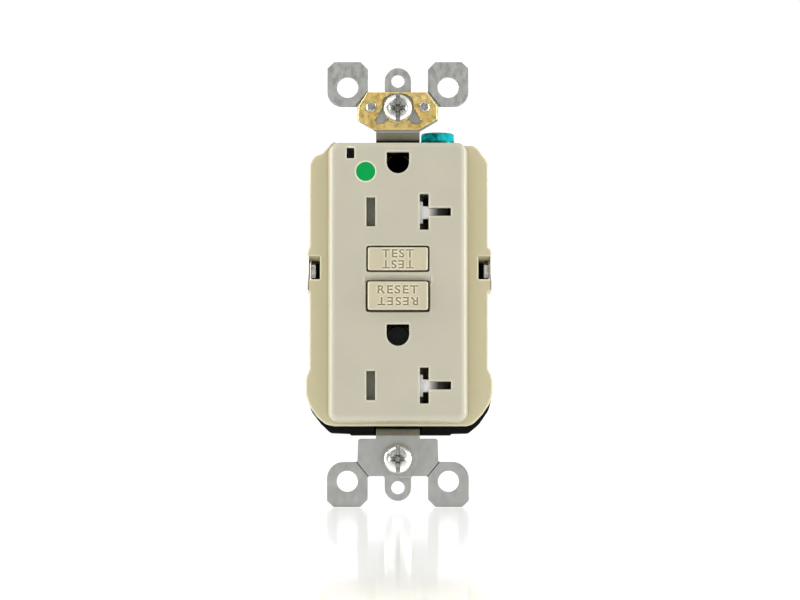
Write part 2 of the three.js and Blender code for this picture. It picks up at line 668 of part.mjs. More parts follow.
add(
  "contact_carriage",
  cut(
    box(-8.6, 8.6, 15.2, 17.2, -7.4, 1.6),
    rodY(0, RESET.z, 1.35, 10, 20, 16),
    box(-10, -3.6, 14, 16.3, -5.4, -0.4),
    box(3.6, 10, 14, 16.3, -5.4, -0.4),
  ),
  "grey",
);
for (const [sx, name] of [[-1, "hot"], [1, "neutral"]]) {
  const flip = (shape) => (sx < 0 ? shape.mirror([1, 0, 0]) : shape);
  add(
    `moving_${name}_contact`,
    flip(join(box(3.9, 12.6, 15.5, 16.0, -5.1, -0.7), rodY(11.2, -2.9, 1.2, 15.0, 15.6, 12))),
    "brass",
  );
}
add("surge_disc", rodX(SOLENOID_Y + 0.6, -21, 4.6, 8.6, 11.8, 24), "blue");

export default group;
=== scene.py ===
import json
import math
from collections import namedtuple

import bmesh
import bpy
from mathutils import Matrix, Vector


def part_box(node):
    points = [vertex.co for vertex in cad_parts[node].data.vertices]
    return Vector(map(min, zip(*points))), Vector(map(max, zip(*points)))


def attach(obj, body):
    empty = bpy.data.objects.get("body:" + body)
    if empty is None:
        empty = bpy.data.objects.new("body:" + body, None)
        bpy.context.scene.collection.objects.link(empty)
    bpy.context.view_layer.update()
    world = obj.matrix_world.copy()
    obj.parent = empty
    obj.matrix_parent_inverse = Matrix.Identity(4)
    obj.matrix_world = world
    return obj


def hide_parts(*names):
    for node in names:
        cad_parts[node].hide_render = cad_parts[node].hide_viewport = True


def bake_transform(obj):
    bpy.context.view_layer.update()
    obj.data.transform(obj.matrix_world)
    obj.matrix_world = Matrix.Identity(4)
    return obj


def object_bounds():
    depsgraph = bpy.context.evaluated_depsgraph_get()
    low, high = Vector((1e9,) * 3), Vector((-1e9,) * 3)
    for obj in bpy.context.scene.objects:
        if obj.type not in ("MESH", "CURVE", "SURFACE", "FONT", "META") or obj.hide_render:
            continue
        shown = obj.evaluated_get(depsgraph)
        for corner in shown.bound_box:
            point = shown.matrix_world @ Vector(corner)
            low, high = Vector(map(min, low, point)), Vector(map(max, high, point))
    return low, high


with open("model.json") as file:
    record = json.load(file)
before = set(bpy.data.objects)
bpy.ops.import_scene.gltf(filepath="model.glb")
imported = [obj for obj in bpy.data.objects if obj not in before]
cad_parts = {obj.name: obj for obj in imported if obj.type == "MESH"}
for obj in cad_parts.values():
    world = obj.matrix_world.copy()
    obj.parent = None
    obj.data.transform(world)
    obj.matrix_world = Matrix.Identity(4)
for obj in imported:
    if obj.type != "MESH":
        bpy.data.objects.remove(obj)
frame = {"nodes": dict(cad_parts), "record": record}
cad_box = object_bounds()

MM = 0.001
SIDES = (("left", -1), ("right", 1))
LEVELS = (("upper", 1), ("lower", -1))

# ---- Levels and sizes in millimetres, as in the CAD model: X to the right, Y to the back, Z up ----
FACE_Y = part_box("front_cover")[0].y / MM
HOUSING_BACK_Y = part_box("back_housing")[1].y / MM
FACE_HALF_W = 16.65
FACE_BOTTOM = -33.25
FACE_TOP = 33.55
FACE_DRAFT = 0.5
FACE_ROUND = 1.2
FLANGE_Y = -2.1
FLANGE_BACK_Y = 0.1
HOT_X = -6.4
NEUTRAL_X = 6.2
NEUTRAL_ARM_X = 12.5
SLOT_HALF_W = 1.025
GROUND_HOLE_R = 2.66
TEST_Z = 5.45
RESET_Z = -3.3
DOT = (-7.62, 26.13)  # X and Z
STRAP_T = 1.3
NECK_Y = 1.3
NECK_HALF_W = 5.2
LOBE_Z = 48.4
EAR_HOLE_X = 12.0
EAR_HOLE_Z = 46.9
RIVET_X = 6.3
RIVET_Z = 42.1
DEVICE_SCREW_Z = 41.67
GROUND_SCREW = (9.5, 5.6)  # X and Y
THREAD_PITCH = 0.794
TERMINAL_Y = 10.0
TERMINAL_Z = 15.0
SHUTTER_Y = -5.5
SHUTTER_BACK_Y = -4.1
PLUNGER_Y = 19.6
POST_BACK_Y = 12.0
CORNER_X = 15.6
CORNER_Z = 28.4
CORNERS = {
    f"{level}_{side}": (sx * CORNER_X, sz * CORNER_Z) for side, sx in SIDES for level, sz in LEVELS
}

Outlet = namedtuple("Outlet", "level blade_z ground_z")
OUTLETS = [Outlet("upper", 16.6, 28.4), Outlet("lower", -24.4, -12.38)]

# A latch stands in a window in a bulge of the cover. Reach is how far out the bulge goes.
Latch = namedtuple("Latch", "side sx reach window tab")
LATCHES = [
    Latch("left", -1, 21.6, (18.5, 21.15), (19.5, 20.7)),
    Latch("right", 1, 22.4, (19.1, 22.0), (20.45, 21.7)),
]


# ---- Outlines: lists of (a, b) points, counter-clockwise ----
def area(points):
    total = 0.0
    for (ax, ay), (bx, by) in zip(points, points[1:] + points[:1]):
        total += ax * by - bx * ay
    return total / 2


def counter_clockwise(points):
    return points if area(points) > 0 else points[::-1]


def rounded(points, steps=6):
    """Corners given as (a, b) or (a, b, radius)."""
    out = []
    count = len(points)
    for i, corner in enumerate(points):
        p = Vector(corner[:2])
        r = corner[2] if len(corner) > 2 else 0
        if not r:
            out.append(tuple(p))
            continue
        a = (Vector(points[i - 1][:2]) - p).normalized()
        b = (Vector(points[(i + 1) % count][:2]) - p).normalized()
        half = a.angle(b) / 2
        centre = p + (a + b).normalized() * (r / math.sin(half))
        start = p + a * (r / math.tan(half)) - centre
        end = p + b * (r / math.tan(half)) - centre
        a0 = math.atan2(start.y, start.x)
        sweep = (math.atan2(end.y, end.x) - a0 + math.pi) % (2 * math.pi) - math.pi
        for k in range(steps + 1):
            angle = a0 + sweep * k / steps
            out.append((centre.x + r * math.cos(angle), centre.y + r * math.sin(angle)))
    return counter_clockwise(out)


def rect(x0, x1, z0, z1, r=0.0, steps=6):
    return rounded([(x0, z0, r), (x1, z0, r), (x1, z1, r), (x0, z1, r)], steps)


def circle(x, z, r, sides=40, turn=0.0):
    step = 2 * math.pi / sides
    return [(x + r * math.cos(step * i + turn), z + r * math.sin(step * i + turn)) for i in range(sides)]


def inset(points, d):
    """The outline moved inwards by d, or outwards where d is negative."""
    out = []
    count = len(points)
    for i in range(count):
        p = Vector(points[i])
        e0 = (p - Vector(points[i - 1])).normalized()
        e1 = (Vector(points[(i + 1) % count]) - p).normalized()
        n0 = Vector((-e0.y, e0.x))
        n1 = Vector((-e1.y, e1.x))
        out.append(tuple(p + (n0 + n1) * (d / max(0.35, 1 + n0.dot(n1)))))
    return out


def arc(x, z, r, start, end, steps=24):
    angles = [start + (end - start) * k / steps for k in range(steps + 1)]
    return [(x + r * math.cos(a), z + r * math.sin(a)) for a in angles]


def mirrored(corners):
    """The corners of the other half, which follow on from these."""
    return [(-x, *rest) for x, *rest in reversed(corners)]


# ---- Mesh building ----
def triangulate(mesh, outwards=False):
    bm = bmesh.new()
    bm.from_mesh(mesh)
    if outwards:
        bmesh.ops.recalc_face_normals(bm, faces=bm.faces)
    bmesh.ops.triangulate(bm, faces=[f for f in bm.faces if len(f.verts) > 4])
    bm.to_mesh(mesh)
    bm.free()


def make(name, verts, faces):
    mesh = bpy.data.meshes.new(name)
    mesh.from_pydata(verts, [], faces)
    triangulate(mesh, True)
    obj = bpy.data.objects.new(name, mesh)
    bpy.context.scene.collection.objects.link(obj)
    return obj


AXES = {
    "y": lambda a, b, d: (a, d, b),
    "x": lambda a, b, d: (d, a, b),
    "z": lambda a, b, d: (a, b, d),
}


def loft(name, rings, axis="y"):
    """A closed solid through rings, each (outline, level), all with the same number of points."""
    place = AXES[axis]
    n = len(rings[0][0])
    verts = [place(a, b, level) for outline, level in rings for a, b in outline]
    faces = []
    for k in range(len(rings) - 1):
        for i in range(n):
            j = (i + 1) % n
            faces.append((k * n + i, k * n + j, (k + 1) * n + j, (k + 1) * n + i))
    faces.append(tuple(range(n)))
    faces.append(tuple(range((len(rings) - 1) * n, len(rings) * n)))
    return make(name, verts, faces)


def rim_rings(outline, level, radius, steps):
    """The rings of a rounded rim, from its end at the level to the straight side. A negative radius is
    for a rim that faces the other way."""
    if not radius:
        return [(outline, level)]
    rings = []
    for k in range(steps + 1):
        t = math.pi / 2 * k / steps
        rings.append((inset(outline, abs(radius) * (1 - math.sin(t))), level + radius * (1 - math.cos(t))))
    return rings


def slab(name, outline, y0, y1, front=0.0, back=0.0, steps=4, axis="y"):
    """The outline run from y0 to y1, with its two rims rounded by front and back."""
    first = rim_rings(outline, y0, front, steps)
    last = rim_rings(outline, y1, -back, steps)
    return loft(name, first + last[::-1], axis)


def lathe(name, profile, sides=40, axis="y", at=(0, 0)):
    """A solid of revolution. The profile is (radius, level) from one end to the other."""
    rings = [([(at[0] + a, at[1] + b) for a, b in circle(0, 0, r, sides)], level) for r, level in profile]
    return loft(name, rings, axis)


def box(x0, x1, y0, y1, z0, z1):
    return slab("tool", [(x0, z0), (x1, z0), (x1, z1), (x0, z1)], y0, y1)


def bake(obj):
    graph = bpy.context.evaluated_depsgraph_get()
    mesh = bpy.data.meshes.new_from_object(obj.evaluated_get(graph))
    old = obj.data
    obj.modifiers.clear()
    obj.data = mesh
    bpy.data.meshes.remove(old)
    triangulate(mesh)
    return obj


def combine(obj, tools, operation):
    for tool in tools:
        m = obj.modifiers.new(operation, "BOOLEAN")
        m.object = tool
        m.operation = operation
        m.solver = "MANIFOLD"
        bake(obj)
        bpy.data.objects.remove(tool)
    return obj


def cut(obj, *tools):
    return combine(obj, tools, "DIFFERENCE")


def join(obj, *tools):
    return combine(obj, tools, "UNION")


def moved(obj, x=0, y=0, z=0):
    obj.data.transform(Matrix.Translation((x, y, z)))
    return obj


def turned(obj, degrees, axis):
    obj.data.transform(Matrix.Rotation(math.radians(degrees), 4, axis))
    return obj


def on_side(obj, sx):
    """The object as drawn for the right side, or its mirror image for the left."""
    if sx < 0:
        obj.data.transform(Matrix.Diagonal((-1, 1, 1, 1)))
        obj.data.flip_normals()
    return obj


def smooth(obj, width=0.0, segments=2, angle=32):
    """Rounds the sharp rims by width, and shades what is left smooth up to the angle."""
    bm = bmesh.new()
    bm.from_mesh(obj.data)
    bmesh.ops.remove_doubles(bm, verts=bm.verts, dist=0.002)
    if width:
        bmesh.ops.dissolve_limit(bm, angle_limit=math.radians(0.5), verts=bm.verts, edges=bm.edges)
    bm.to_mesh(obj.data)
    bm.free()
    if width:
        m = obj.modifiers.new("rim", "BEVEL")
        m.width = width
        m.segments = segments
        m.limit_method = "ANGLE"
        m.angle_limit = math.radians(angle)
        m.use_clamp_overlap = True
        bake(obj)
    obj.data.polygons.foreach_set("use_smooth", [True] * len(obj.data.polygons))
    obj.data.set_sharp_from_angle(angle=math.radians(angle))
    m = obj.modifiers.new("normals", "WEIGHTED_NORMAL")
    m.keep_sharp = True
    return obj


# ---- Materials ----
BUMP_DEPTH = 0.02 * MM


class Nodes:
    """A Principled material with helpers for the textures that drive it."""

    def __init__(self, name, colour, roughness, metallic=0.0):
        self.mat = bpy.data.materials.new(name)
        self.mat.use_nodes = True
        self.tree = self.mat.node_tree
        self.shader = self.tree.nodes["Principled BSDF"]
        self.shader.inputs["Base Color"].default_value = (*colour, 1)
        self.shader.inputs["Roughness"].default_value = roughness
        self.shader.inputs["Metallic"].default_value = metallic
        self.coords = self.tree.nodes.new("ShaderNodeTexCoord").outputs["Object"]

    def link(self, a, b):
        self.tree.links.new(a, b)

    def noise(self, scale, detail=2.0, stretch=(1, 1, 1)):
        mapping = self.tree.nodes.new("ShaderNodeMapping")
        mapping.inputs["Scale"].default_value = stretch
        self.link(self.coords, mapping.inputs["Vector"])
        n = self.tree.nodes.new("ShaderNodeTexNoise")
        n.inputs["Scale"].default_value = scale
        n.inputs["Detail"].default_value = detail
        self.link(mapping.outputs["Vector"], n.inputs["Vector"])
        return n.outputs["Fac"]

    def spread(self, value, low, high, start=0.35, end=0.65):
        r = self.tree.nodes.new("ShaderNodeMapRange")
        r.inputs["From Min"].default_value = start
        r.inputs["From Max"].default_value = end
        r.inputs["To Min"].default_value = low
        r.inputs["To Max"].default_value = high
        self.link(value, r.inputs["Value"])
        return r.outputs["Result"]

    def tint(self, value, first, second, start=0.35, end=0.65):
        ramp = self.tree.nodes.new("ShaderNodeValToRGB")
        ramp.color_ramp.elements[0].position = start
        ramp.color_ramp.elements[0].color = (*first, 1)
        ramp.color_ramp.elements[1].position = end
        ramp.color_ramp.elements[1].color = (*second, 1)
        self.link(value, ramp.inputs["Fac"])
        self.link(ramp.outputs["Color"], self.shader.inputs["Base Color"])

    def rough(self, value):
        self.link(value, self.shader.inputs["Roughness"])

    def over(self, value, colour):
        """Lays the colour over the base colour by value."""
        base = self.shader.inputs["Base Color"]
        mix = self.tree.nodes.new("ShaderNodeMix")
        mix.data_type = "RGBA"
        self.link(value, mix.inputs[0])
        self.link(base.links[0].from_socket, mix.inputs[6])
        mix.inputs[7].default_value = (*colour, 1)
        self.link(mix.outputs[2], base)

    def axis(self, letter):
        axes = self.tree.nodes.new("ShaderNodeSeparateXYZ")
        self.link(self.coords, axes.inputs["Vector"])
        return axes.outputs[letter]

    def calculate(self, operation, *values):
        node = self.tree.nodes.new("ShaderNodeMath")
        node.operation = operation
        for socket, value in zip(node.inputs, values):
            self.link(value, socket)
        return node.outputs["Value"]

    def fade(self, letter, amount, start, end):
        """From nothing to the amount between two levels in millimetres."""
        return self.spread(self.axis(letter), 0, amount, start * MM, end * MM)

    def openness(self, distance, inside=False):
        ao = self.tree.nodes.new("ShaderNodeAmbientOcclusion")
        ao.samples = 8
        ao.inside = inside
        ao.only_local = inside
        ao.inputs["Distance"].default_value = distance * MM
        return ao.outputs["AO"]

    def bump(self, value, strength):
        previous = self.shader.inputs["Normal"].links
        b = self.tree.nodes.new("ShaderNodeBump")
        b.inputs["Strength"].default_value = strength
        b.inputs["Distance"].default_value = BUMP_DEPTH
        self.link(value, b.inputs["Height"])
        if previous:
            self.link(previous[0].from_socket, b.inputs["Normal"])
        self.link(b.outputs["Normal"], self.shader.inputs["Normal"])


def linear(r, g, b):
    return tuple((c / 255 / 12.92) if c <= 10 else ((c / 255 + 0.055) / 1.055) ** 2.4 for c in (r, g, b))


def shade(colour, factor):
    return tuple(min(1.0, c * factor) for c in colour)


# Painted shade: the tint of a plastic's own colour that its crevices, recesses and gaps are darkened towards
PAINTED_CREVICE_SHADE = (0.2, 0.15, 0.08)
BEHIND_Y = (FACE_Y + FACE_ROUND, FLANGE_Y - 0.6)
# Painted shade: the depths over which a plastic turns to its darker tone deeper in
SHADE_DEEPER_Y = (-5.46, -4.85)
# Painted shade on the strap where it drops back behind the cover: past these depths and within these heights
NECK_DROP_Y = (0.2, 0.7)
NECK_Z = (35.2, 35.6)


def plastic(
    name, colour, roughness=0.42, grain=0.12, vary=0.02, coat=0.0, specular=0.5,
    painted_rim_tone=None, behind=None, painted_shade_deeper=None, shadow=0.8,
):
    """Moulded plastic. It takes a painted highlight of the given rim tone on its thin rims, the behind tone
    further in, painted shade deeper in, and painted shade in its crevices and gaps as strong as shadow.
    """
    m = Nodes(name, colour, roughness)
    m.tint(m.noise(90, 3), shade(colour, 1 - vary), shade(colour, 1 + vary))
    if behind:
        m.over(m.fade("Y", 1, *BEHIND_Y), behind)
    # Painted shade: darker towards the given tone deeper in
    if painted_shade_deeper:
        m.over(m.fade("Y", 1, *SHADE_DEEPER_Y), painted_shade_deeper)
    # Painted highlight: the rim tone on thin convex rims, found by occlusion inside the solid
    if painted_rim_tone:
        m.over(m.spread(m.openness(0.5, True), 0.95, 0, 0.45, 0.95), painted_rim_tone)
    # Painted shade in crevices, recesses and gaps, by ambient occlusion
    m.over(m.spread(m.openness(1.2), shadow, 0, 0.1, 0.72), tuple(c * f for c, f in zip(colour, PAINTED_CREVICE_SHADE)))
    m.rough(m.spread(m.noise(700, 3), roughness - 0.05, roughness + 0.06))
    m.bump(m.noise(5200, 2), grain)
    m.shader.inputs["Specular IOR Level"].default_value = specular
    m.shader.inputs["Coat Weight"].default_value = coat
    m.shader.inputs["Coat Roughness"].default_value = 0.25
    return m.mat


def metal(
    name, colour, roughness, grain=(1, 1, 1), vary=0.08, strength=0.15, dull=None, scale=1400,
    painted_shade=0.85, reach=0.9, neck=False, painted_rim_tone=None, shaded_half=None,
):
    """Plated or bare metal, with painted shade as strong as the given amount where its surroundings within
    reach close in. Neck paints shade on it where the strap drops behind the cover, the rim tone is painted on
    its thin rims, and the shaded half paints a deeper shade on one side of a level across the object."""
    m = Nodes(name, colour, roughness, 1.0)
    stain = dull or shade(colour, 1 - 2 * vary)
    m.tint(m.noise(420, 5, grain), stain, shade(colour, 1 + vary), 0.3, 0.62)
    # Painted shade where other surfaces within reach close in, by ambient occlusion
    m.over(m.spread(m.openness(reach), painted_shade, 0, 0.15, 0.85), shade(colour, 0.08))
    # Painted shade: the side of the level towards negative X is turned to the given darker tone
    if shaded_half:
        level, tone = shaded_half
        m.over(m.spread(m.axis("X"), 0.85, 0, (level - 0.12) * MM, (level + 0.12) * MM), tone)
    # Painted rim tone on thin convex rims, found by occlusion inside the solid
    if painted_rim_tone:
        m.over(m.spread(m.openness(0.4, True), 0.9, 0, 0.5, 0.95), painted_rim_tone)
    # Painted shade on the strap's neck where it drops behind the cover
    if neck:
        drop = m.fade("Y", 0.9, *NECK_DROP_Y)
        middle = m.spread(m.calculate("ABSOLUTE", m.axis("Z")), 1, 0, NECK_Z[0] * MM, NECK_Z[1] * MM)
        m.over(m.calculate("MULTIPLY", drop, middle), shade(colour, 0.05))
    m.rough(m.spread(m.noise(900, 4, grain), roughness - 0.07, roughness + 0.1))
    m.bump(m.noise(scale, 4, grain), strength)
    return m.mat


# The record's material slots by name, with the engraving's painted shade, the shutter's shaded pad and the
# shaded contact brass added.
MATERIALS = {
    # The cover and buttons get a painted highlight on their rims; all plastics get painted shade in their
    # crevices
    "cover": plastic(
        "cover_plastic", linear(175, 171, 153), 0.34,
        painted_rim_tone=linear(244, 238, 216), behind=linear(183, 175, 144),
    ),
    "button": plastic("button_plastic", linear(182, 174, 148), 0.34, painted_rim_tone=linear(222, 215, 192)),
    # Painted shade: a darker copy of the button plastic, laid in the engraved words
    "engraving_shade": plastic("engraving_fill", linear(158, 146, 114), 0.6),
    "black": plastic("housing_plastic", linear(4, 4, 3), 0.5, grain=0.2, vary=0.2, specular=0.1),
    "green": plastic("printed_green", linear(0, 142, 66), 0.5, grain=0.06, specular=0.1),
    "lens": plastic("lamp_lens", linear(4, 4, 4), 0.4, grain=0.02, specular=0.1),
    "shutter": plastic("shutter_plastic", linear(252, 252, 250), 0.45, painted_shade_deeper=linear(52, 42, 26), shadow=0.05),
    # Painted shade: a grey copy of the shutter plastic for where the hot slot's shutter lies in shade
    "shade_pad": plastic("shutter_pad", linear(128, 128, 112), 0.45),
    "nylon": plastic("nylon", linear(214, 209, 192), 0.5, vary=0.05),
    "grey": plastic("carriage_plastic", linear(91, 94, 96), 0.5),
    "blue": plastic("dipped_epoxy", linear(44, 79, 158), 0.25, coat=0.5),
    "ferrite": plastic("taped_core", linear(46, 45, 43), 0.55, grain=0.4, vary=0.15),
    "board": plastic("solder_mask", linear(40, 92, 46), 0.3, vary=0.15, coat=0.3),
    # Painted shade near the cover and screws, and on the neck behind the cover
    "zinc": metal(
        "zinc_steel", linear(173, 174, 170), 0.44, (1.0, 1.0, 0.55), 0.025, 0.22,
        scale=2600, painted_shade=0.28, reach=2.0, neck=True,
    ),
    # Painted shade in recesses, such as the screw crosses and rivet marks
    "bright": metal(
        "bright_zinc", linear(226, 226, 220), 0.26, vary=0.04, strength=0.08, painted_shade=0.95, reach=1.6,
    ),
    "brass": metal(
        "pressed_brass", linear(255, 226, 146), 0.32, vary=0.03, strength=0.06, dull=linear(244, 204, 118),
    ),
    # Painted shade: a darker copy of the brass, with strong occlusion shade, for contacts deep in the slots
    # and holes
    "contact": metal("shaded_contact_brass", linear(200, 165, 95), 0.4, vary=0.1, painted_shade=0.97, reach=9),
    # Painted shade on its rims and on its left half
    "teal": metal(
        "green_zinc", linear(26, 168, 172), 0.26, vary=0.06, strength=0.05, dull=linear(18, 146, 148),
        painted_rim_tone=linear(4, 78, 84), shaded_half=(GROUND_SCREW[0], linear(14, 138, 134)),
    ),
    "copper": metal("enamelled_wire", linear(186, 104, 58), 0.3, (0.1, 0.1, 1), 0.15, 0.6),
}


def paint(obj, material):
    obj.data.materials.clear()
    obj.data.materials.append(MATERIALS[material])


def piece(obj, name, body, material, slot, *nodes, gives=None):
    """A finished piece of the object: its name, paint, body and the CAD nodes it stands for. Its material
    slot is not used.
    A piece that gives, such as a spring, is baked in place and attached to no body; what it gives to is not
    used."""
    obj.name = name
    obj.data.transform(Matrix.Scale(MM, 4))
    paint(obj, material)
    if gives:
        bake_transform(obj)
    else:
        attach(obj, body)
    if nodes:
        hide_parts(*nodes)


# ---- Front cover ----
FACE = rect(-FACE_HALF_W, FACE_HALF_W, FACE_BOTTOM, FACE_TOP, 2.7, 10)
FLANGE = rounded([
    (-14.5, 33.5), (-15.5, 33.9, 0.3), (-18.1, 31.0, 0.5), (-19.8, 30.4, 0.6), (-20.6, 29.4, 0.8),
    (-21.05, 28.2, 1.0), (-21.05, -20.4, 1.0), (-21.6, -21.6, 0.6), (-21.9, -23.0, 1.0), (-21.9, -26.4, 4.0),
    (-21.05, -29.0, 6.0), (-19.1, -31.8, 6.0), (-17.0, -33.5, 3.0), (-15.0, -33.85, 1.5), (16.2, -33.85, 1.5),
    (17.8, -33.4, 3.0), (20.0, -31.1, 6.0), (21.7, -28.6, 6.0), (22.5, -26.2, 4.0), (22.5, -23.0, 1.0),
    (22.1, -21.6, 0.6), (21.45, -20.4, 1.0), (21.5, 28.5, 1.0), (20.9, 29.7, 0.8), (18.9, 32.3, 0.8),
    (17.9, 32.9, 0.5), (15.0, 32.9), (14.5, 33.5),
])


def bulge(reach):
    """The outline of the bulge that holds a latch, on the right side."""
    return rounded([
        (17.5, -1.95), (reach, -1.95, 0.2), (reach, 7.2, 0.8), (reach - 0.3, 8.2, 0.8), (20.9, 9.1, 0.6),
        (17.5, 9.1),
    ])


def opening(outline, lip=0.4, depth=3.4):
    """A tool that cuts an opening through the face, with a rounded lip."""
    rings = [(inset(outline, -lip), FACE_Y - 0.5)]
    for k in range(5):
        t = math.pi / 2 * k / 4
        rings.append((inset(outline, -lip * (1 - math.sin(t))), FACE_Y + lip * (1 - math.cos(t)) - 0.001))
    rings.append((outline, FACE_Y + depth))
    return loft("tool", rings)


def ground_hole(z):
    """The round hole of a ground pin, flat at the top."""
    flat = [(GROUND_HOLE_R, z + 2.39, 0.25), (-GROUND_HOLE_R, z + 2.39, 0.25)]
    return rounded([*flat, *arc(0, z, GROUND_HOLE_R, math.pi, 2 * math.pi)], 3)


def blade_slot(x, z, half_h):
    return opening(rect(x - SLOT_HALF_W, x + SLOT_HALF_W, z - half_h, z + half_h, 0.12, 2))


rim = []
for k in range(11):
    a = math.pi / 20 * k
    rim.append((inset(FACE, FACE_DRAFT + 1.5 * (1 - math.sin(a))), FACE_Y + FACE_ROUND * (1 - math.cos(a))))
cover = loft("cover", [*rim, (FACE, -1.0)])
join(cover, slab("tool", FLANGE, FLANGE_Y, FLANGE_BACK_Y, 0.45))
for latch in LATCHES:
    join(cover, on_side(slab("tool", bulge(latch.reach), FLANGE_Y, 7.4, 0.4, 0.4), latch.sx))
for at in CORNERS.values():
    join(cover, lathe("tool", [(2.4, -1.5), (2.4, POST_BACK_Y - 0.3), (2.1, POST_BACK_Y)], 24, at=at))
cut(cover, slab("tool", rect(-14.4, 14.4, -31.2, 31.2, 1.5), FACE_Y + 2.4, 1.0))
for at in CORNERS.values():
    cut(cover, lathe("tool", [(1.7, 1.5), (1.7, POST_BACK_Y + 1)], 24, at=at))
for latch in LATCHES:
    x0, x1 = latch.window
    window = slab("tool", rect(x0, x1, 1.0, 5.5, 0.2), -3.0, 8.0)
    ramp = slab("tool", [(-2.6, 5.2), (-2.6, 6.9), (0.0, 5.5), (0.0, 5.2)], x0, x1, axis="x")
    cut(cover, on_side(window, latch.sx), on_side(ramp, latch.sx))
for outlet in OUTLETS:
    z = outlet.blade_z
    cut(
        cover,
        blade_slot(HOT_X, z, 3.4),
        blade_slot(NEUTRAL_X, z, 4.225),
        opening(rect(NEUTRAL_X, NEUTRAL_ARM_X, z - 0.93, z + 0.93, 0.12, 2)),
        opening(ground_hole(outlet.ground_z)),
    )
bridge = rect(-7.9, 7.9, -0.5, 1.75, 0.3)
cut(
    cover,
    opening(rect(-7.4, 7.4, TEST_Z - 3.035, TEST_Z + 3.035, 0.45), lip=0.35),
    opening(rect(-7.5, 7.5, RESET_Z - 3.725, RESET_Z + 3.725, 0.45), lip=0.35),
    loft("tool", [
        (bridge, FACE_Y - 0.3), (bridge, FACE_Y - 0.001), (rect(-7.6, 7.6, -0.5, 0.5, 0.3), FACE_Y + 0.7),
    ]),
    opening(rect(-12.08, -10.32, 29.32, 31.72, 0.15, 2), lip=0.35),
    slab("tool", circle(*DOT, 2.29, 48), FACE_Y - 1, FACE_Y + 0.8),
)
piece(smooth(cover, angle=30), "cover_shell", "base", "cover", "cover", "front_cover")

dot = slab("dot", circle(*DOT, 2.25, 64), FACE_Y - 0.02, FACE_Y + 0.7, 0.08)
piece(smooth(dot), "green_dot", "base", "green", "green", "hospital_dot")
lens = slab("lens", rect(-11.88, -10.52, 29.52, 31.12, 0.2), FACE_Y + 0.35, FACE_Y + 3.4, 0.15)
piece(smooth(lens), "lamp_lens", "base", "lens", "lens", "status_lens")


# ---- Buttons, with their words the right way up and upside down ----
WORD_H = 2.0
ENGRAVING = 0.5
# Painted shade: a thin darker fill this far into each engraved word
SHADE_FILL_DEPTH = 0.25
SHADE_FILL_T = 0.06


def word(text, width, z, y, thickness, upside_down):
    """A solid of the word, centred on the object and on the level z, with its middle at the depth y."""
    curve = bpy.data.curves.new("word", "FONT")
    curve.body = text
    curve.align_x = "CENTER"
    curve.align_y = "CENTER"
    curve.space_character = 1.2
    curve.offset = 0.018
    curve.extrude = 0.5
    curve.resolution_u = 3
    obj = bpy.data.objects.new("word", curve)
    bpy.context.scene.collection.objects.link(obj)
    graph = bpy.context.evaluated_depsgraph_get()
    mesh = bpy.data.meshes.new_from_object(obj.evaluated_get(graph))
    bpy.data.objects.remove(obj)
    solid = bpy.data.objects.new("word", mesh)
    bpy.context.scene.collection.objects.link(solid)
    bm = bmesh.new()
    bm.from_mesh(mesh)
    bmesh.ops.remove_doubles(bm, verts=bm.verts, dist=1e-5)
    bmesh.ops.recalc_face_normals(bm, faces=bm.faces)
    bm.to_mesh(mesh)
    bm.free()
    xs = [v.co.x for v in mesh.vertices]
    ys = [v.co.y for v in mesh.vertices]
    size = (max(xs) - min(xs), max(ys) - min(ys))
    centre = Vector(((max(xs) + min(xs)) / 2, (max(ys) + min(ys)) / 2, 0))
    mesh.transform(Matrix.Translation(-centre))
    mesh.transform(Matrix.Diagonal((width / size[0], WORD_H / size[1], thickness, 1)))
    if upside_down:
        mesh.transform(Matrix.Rotation(math.pi, 4, "Z"))
    mesh.transform(Matrix.Rotation(math.pi / 2, 4, "X"))
    mesh.transform(Matrix.Translation((0, y, z)))
    return solid


def button(name, body, z, half_w, half_h, front, flange_half_w, text, text_w, rows):
    """A button cap over a thin flange. Each row of its word is a level and whether it is upside down."""
    cap = slab(name, rect(-half_w, half_w, z - half_h, z + half_h, 0.5, 5), front, -5.2, 0.42, steps=5)
    join(cap, box(-flange_half_w, flange_half_w, -5.6, -4.7, z - half_h - 0.25, z + half_h + 0.25))
    for row, upside_down in rows:
        cut(cap, word(text, text_w, row, front, ENGRAVING, upside_down))
        # Painted shade: a thin darker fill in the engraving, on the button's material slot
        fill = word(text, text_w, row, front + SHADE_FILL_DEPTH, SHADE_FILL_T, upside_down)
        piece(fill, f"{name}_word_{'b' if upside_down else 'a'}", body, "engraving_shade", "button")
    return cap


test = button(
    "test", "test_button", TEST_Z, half_w=7.075, half_h=2.735, front=-8.7, flange_half_w=8.0,
    text="TEST", text_w=7.5, rows=[(6.72, False), (4.12, True)],
)
join(test, lathe("tool", [(1.2, -5.0), (1.2, 3.1), (0.9, 3.4)], 20, at=(0, TEST_Z)))
piece(smooth(test), "test_cap", "test_button", "button", "button", "test_button")
reset = button(
    "reset", "reset", RESET_Z, half_w=7.1, half_h=3.35, front=-9.6, flange_half_w=8.2,
    text="RESET", text_w=9.6, rows=[(-1.85, False), (-4.62, True)],
)
piece(smooth(reset), "reset_cap", "reset", "button", "button", "reset_button")

